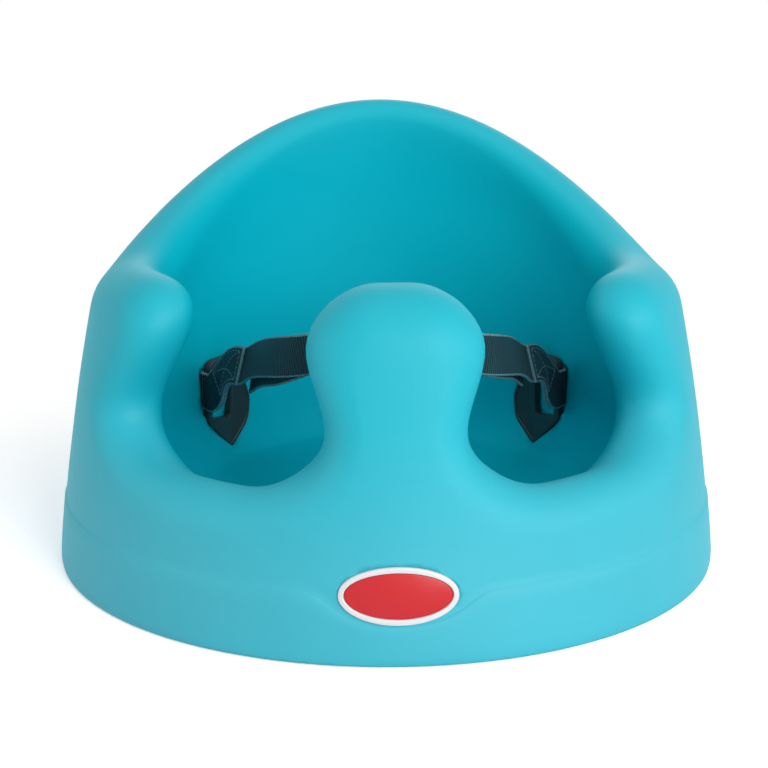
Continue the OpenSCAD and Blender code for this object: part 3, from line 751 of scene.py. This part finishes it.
class FLOORSEAT_OT_webbing(bpy.types.Operator):
    """Builds the belt's two straps and the sewn box at each anchor"""

    bl_idname = "floor_seat.webbing"
    bl_label = "Webbing"

    def execute(self, context):
        look = context.scene.floor_seat.belt
        for side in ("left", "right"):
            bm = merged(f"strap_{side}")
            # A new layer loses hold of what was read from a mesh, so both come before the rings
            belt = bm.loops.layers.uv.new("belt")
            crease = bm.edges.layers.float.new("crease_edge")
            ribbon = Ribbon(bm)
            wide = (ribbon.rings[0][0].co - ribbon.rings[0][1].co).length
            sewing = self.sewn_box(ribbon, look, wide)
            self.map_webbing(bm, ribbon, wide, belt, crease)
            material = woven_webbing(look, wide)
            webbing = piece(bm, f"belt_webbing_{side}", material, None)
            rounding = webbing.modifiers.new("rounding", "SUBSURF")
            rounding.levels = rounding.render_levels = look.detail
            thread = piece(sewing, f"belt_sewing_{side}", sewing_thread(look), None)
            for made in (webbing, thread):
                if side == "right":
                    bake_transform(made)
                else:
                    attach(made, "seat")
            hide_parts(f"strap_{side}")
        return {"FINISHED"}

    def map_webbing(self, bm, ribbon, wide, belt, crease):
        """Lays the map in metres, sets the creases, joins the triangles, and splits the faces
        across."""
        where = {}
        for i, ring in enumerate(ribbon.rings):
            for k, vert in enumerate(ring):
                where[vert] = (i, k)
        for face in bm.faces:
            for loop in face.loops:
                ring, corner = where[loop.vert]
                side = 1 if corner in (0, 3) else -1
                loop[belt].uv = (ribbon.run[ring], side * wide / 2)
        ends = (0, len(ribbon.rings) - 1)
        # Edges that split a four-sided face, and edges from the belt's one side to its other
        splits, across = [], []
        for edge in bm.edges:
            (ring, corner), (other_ring, other_corner) = (where[v] for v in edge.verts)
            if ring != other_ring:
                if corner == other_corner:
                    edge[crease] = LONG_CREASE
                else:
                    splits.append(edge)
                continue
            if ring in ends:
                edge[crease] = END_CREASE
            if abs(corner - other_corner) == 2:
                splits.append(edge)
            elif {corner, other_corner} in ({0, 1}, {2, 3}):
                across.append(edge)
        bmesh.ops.dissolve_edges(bm, edges=splits, use_verts=False)
        bmesh.ops.subdivide_edges(
            bm, edges=[e for e in across if e.is_valid], cuts=CUTS_ACROSS, use_grid_fill=True
        )
        bmesh.ops.recalc_face_normals(bm, faces=bm.faces)

    def sewn_box(self, ribbon, look, wide):
        """The stitches of a box with a cross in it, on the outer face of the sewn end."""
        sign = ribbon.outer_sign()
        half = wide / 2 - SEAM_TO_EDGE
        near, far = SEAM_TO_END, SEAM_TO_END + look.box
        corners = [(near, -half), (near, half), (far, half), (far, -half)]
        lines = [(corners[k], corners[(k + 1) % 4]) for k in range(4)]
        lines += [(corners[0], corners[2]), (corners[1], corners[3])]
        shape = Matrix.Diagonal(
            (look.stitch * STITCH_FILL / 2, look.thread_thick / 2, look.thread_thick / 2, 1)
        )
        bm = bmesh.new()
        for start, end in lines:
            start, end = Vector(start), Vector(end)
            line = (end - start).normalized()
            count = max(2, round((end - start).length / look.stitch))
            for k in range(count):
                run, side = start.lerp(end, (k + 0.5) / count)
                point, way, up, out = ribbon.at(run, side, sign)
                along = (way * line.x + up * line.y).normalized()
                turned = Matrix((along, out.cross(along), out)).transposed().to_4x4()
                bmesh.ops.create_uvsphere(
                    bm, u_segments=8, v_segments=6, radius=1,
                    matrix=Matrix.Translation(point) @ turned @ shape,
                )
        return bm


class FLOORSEAT_OT_buckle(bpy.types.Operator):
    """Builds the side-release buckle: socket, plug and two latch arms"""

    bl_idname = "floor_seat.buckle"
    bl_label = "Buckle"

    def execute(self, context):
        look = context.scene.floor_seat.hardware
        # Acetal, black: a little slicker than the plates, with much the same fine grain
        shell = moulded_plastic(
            "acetal_black_moulded", look.tint, matt=0.38, grain=0.8 * MM, depth=0.03 * MM
        )
        arms = moulded_plastic(
            "acetal_latch_moulded", look.tint_latch, matt=0.36, grain=0.8 * MM, depth=0.03 * MM
        )
        for node, name, body, material in (
            ("buckle_socket", "buckle_socket_shell", "seat", shell),
            ("buckle_plug", "buckle_plug_shell", "plug", shell),
            ("latch_arm_top", "buckle_latch_top", "upper_latch", arms),
            ("latch_arm_bottom", "buckle_latch_bottom", "lower_latch", arms),
        ):
            bm = eased(node, look.edge_radius)
            smooth_below(piece(bm, name, material, body, node), degrees=50)
        return {"FINISHED"}


class FLOORSEAT_OT_stage(bpy.types.Operator):
    """Sets up the floor, the lamps, the world and the camera"""

    bl_idname = "floor_seat.stage"
    bl_label = "Floor, lamps and camera"

    def execute(self, context):
        look = context.scene.floor_seat.stage
        context.scene.view_settings.view_transform = "Standard"
        self.make_floor(look)
        self.make_world(context.scene, look)
        for name, (wide, stand) in LAMPS.items():
            self.make_lamp(f"{name}_lamp", getattr(look, name), wide, Vector(stand), look.aim)
        self.make_camera(context.scene, look)
        return {"FINISHED"}

    def make_floor(self, look):
        """A round floor far wider than the view."""
        bm = bmesh.new()
        bmesh.ops.create_circle(bm, cap_ends=True, radius=FLOOR_RADIUS, segments=96)
        mesh = bpy.data.meshes.new("floor")
        bm.to_mesh(mesh)
        bm.free()
        mesh.materials.append(seamless_paper(look))
        floor = bpy.data.objects.new("floor", mesh)
        bpy.context.scene.collection.objects.link(floor)

    def make_world(self, scene, look):
        """Soft light from all round, which is seen as plain white."""
        world = bpy.data.worlds.new("studio")
        world.use_nodes = True
        tree = world.node_tree
        tree.nodes.clear()
        strength = add_node(
            tree, "ShaderNodeMapRange",
            {"Value": seen_rays(tree), "To Min": look.sky, "To Max": 1.0},
        ).outputs[0]
        sky = add_node(tree, "ShaderNodeBackground", {"Color": WHITE, "Strength": strength})
        add_node(tree, "ShaderNodeOutputWorld", {"Surface": sky.outputs[0]})
        scene.world = world

    def put_at(self, made, stand, aim):
        """Stands a lamp or the camera in its place, and points it."""
        made.location = stand
        made.rotation_euler = (aim - stand).to_track_quat("-Z", "Y").to_euler()
        bpy.context.scene.collection.objects.link(made)

    def make_lamp(self, name, power, wide, stand, aim):
        """A round soft lamp that points at the seat."""
        data = bpy.data.lights.new(name, "AREA")
        data.shape = "DISK"
        data.size = wide
        data.energy = power
        self.put_at(bpy.data.objects.new(name, data), stand, aim)

    def make_camera(self, scene, look):
        """The camera, at the photograph's viewing angle."""
        data = bpy.data.cameras.new("camera")
        data.lens = look.lens
        data.sensor_width = look.film
        data.shift_x, data.shift_y = look.shift_across, look.shift_up
        scene.camera = bpy.data.objects.new("camera", data)
        level = look.distance * math.cos(look.elevation)
        away = Vector(
            (
                -level * math.sin(look.turn),
                -level * math.cos(look.turn),
                look.distance * math.sin(look.elevation),
            )
        )
        self.put_at(scene.camera, look.aim + away, look.aim)


class FLOORSEAT_PT_panel(bpy.types.Panel):
    """Lists the seat's pieces and settings in the sidebar"""

    bl_idname = "FLOORSEAT_PT_panel"
    bl_label = "Floor seat"
    bl_space_type = "VIEW_3D"
    bl_region_type = "UI"
    bl_category = "Floor seat"

    def draw(self, context):
        column = self.layout.column()
        for operator in OPERATORS:
            column.operator(operator.bl_idname)
        seat = context.scene.floor_seat
        for group in (seat.foam, seat.belt, seat.hardware, seat.badge, seat.stage):
            box = self.layout.box()
            for name in group.bl_rna.properties.keys():
                if name not in ("rna_type", "name"):
                    box.prop(group, name)


GROUPS = (
    FoamSettings, BeltSettings, HardwareSettings, BadgeSettings, StageSettings, FloorSeatSettings,
)
OPERATORS = (
    FLOORSEAT_OT_stage, FLOORSEAT_OT_foam, FLOORSEAT_OT_badge, FLOORSEAT_OT_anchors,
    FLOORSEAT_OT_webbing, FLOORSEAT_OT_buckle,
)


def register():
    """Adds the settings, the operators and the panel."""
    for part in (*GROUPS, *OPERATORS, FLOORSEAT_PT_panel):
        bpy.utils.register_class(part)
    bpy.types.Scene.floor_seat = PointerProperty(type=FloorSeatSettings)


def unregister():
    """Takes them away again."""
    del bpy.types.Scene.floor_seat
    for part in reversed((*GROUPS, *OPERATORS, FLOORSEAT_PT_panel)):
        bpy.utils.unregister_class(part)


def main():
    """Builds the seat and its stage."""
    register()
    bpy.ops.floor_seat.stage()
    bpy.ops.floor_seat.foam()
    bpy.ops.floor_seat.badge()
    bpy.ops.floor_seat.anchors()
    bpy.ops.floor_seat.webbing()
    bpy.ops.floor_seat.buckle()
    bpy.context.view_layer.update()


if __name__ == "__main__":
    main()
